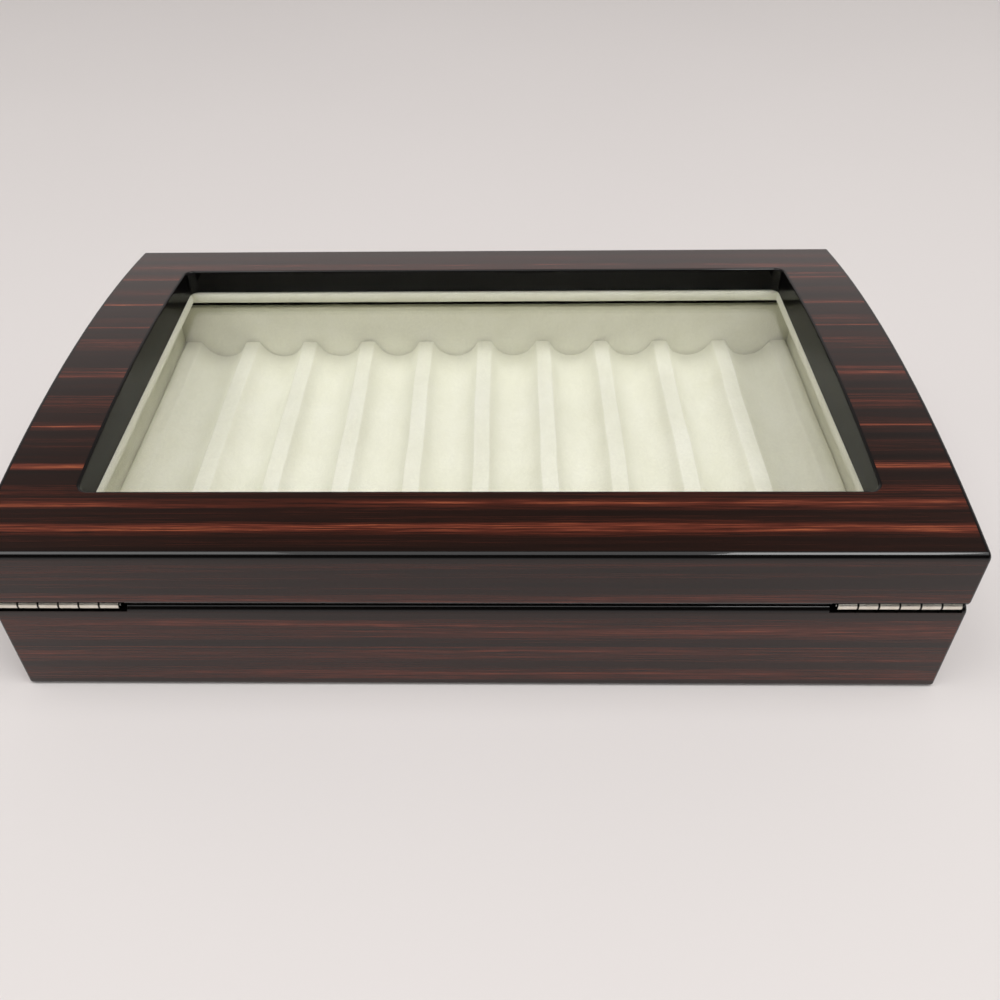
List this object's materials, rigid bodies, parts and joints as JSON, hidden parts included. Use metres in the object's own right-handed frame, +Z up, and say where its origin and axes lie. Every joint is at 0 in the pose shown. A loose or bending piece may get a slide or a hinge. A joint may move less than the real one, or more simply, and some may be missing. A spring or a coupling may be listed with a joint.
{
  "type": "pen collector chest",
  "caption": "Low wooden pen chest with a hinged arched lid, a glass window in it, and a grooved velvet tray inside.",
  "frame": {"origin": "middle of the underside, on the table", "axes": "+Z up, the front that opens faces -Y, the hinges are at +Y, +X to the right as seen from the front"},
  "size_m": [0.3, 0.194, 0.0672],
  "materials": {
    "ebony_veneer": "striped ebony veneer under high-gloss lacquer, black lacquered edges",
    "panel_board": "plain fibreboard",
    "base_felt": "black felt",
    "cream_velvet": "cream velvet over board and foam",
    "window_glass": "clear float glass",
    "nickel_hinge": "nickel plated",
    "steel_pin": "bright wire",
    "nickel_screws": "nickel plated"
  },
  "bodies": {
    "base": {"base_front_wall": "ebony_veneer", "base_back_wall": "ebony_veneer", "base_left_wall": "ebony_veneer", "base_right_wall": "ebony_veneer", "base_bottom_panel": "panel_board", "base_felt": "base_felt", "lining_front": "cream_velvet", "lining_back": "cream_velvet", "lining_left": "cream_velvet", "lining_right": "cream_velvet", "pen_tray": "cream_velvet", "hinge_base_leaf_left": "nickel_hinge", "hinge_base_leaf_right": "nickel_hinge", "hinge_pin_left": "steel_pin", "hinge_pin_right": "steel_pin", "hinge_screws_base": "nickel_screws"},
    "lid": {"lid_top_panel": "ebony_veneer", "lid_front_wall": "ebony_veneer", "lid_back_wall": "ebony_veneer", "lid_left_wall": "ebony_veneer", "lid_right_wall": "ebony_veneer", "window_glass": "window_glass", "glass_bead_front": "cream_velvet", "glass_bead_back": "cream_velvet", "glass_bead_left": "cream_velvet", "glass_bead_right": "cream_velvet", "hinge_lid_leaf_left": "nickel_hinge", "hinge_lid_leaf_right": "nickel_hinge", "hinge_screws_lid": "nickel_screws"}
  },
  "joints": [
    {"name": "lid_hinge", "type": "hinge", "parent": "base", "child": "lid", "pos_m": [0, 0.0955, 0.03775], "axis": [-1, 0, 0], "range_deg": [0, 98]}
  ]
}
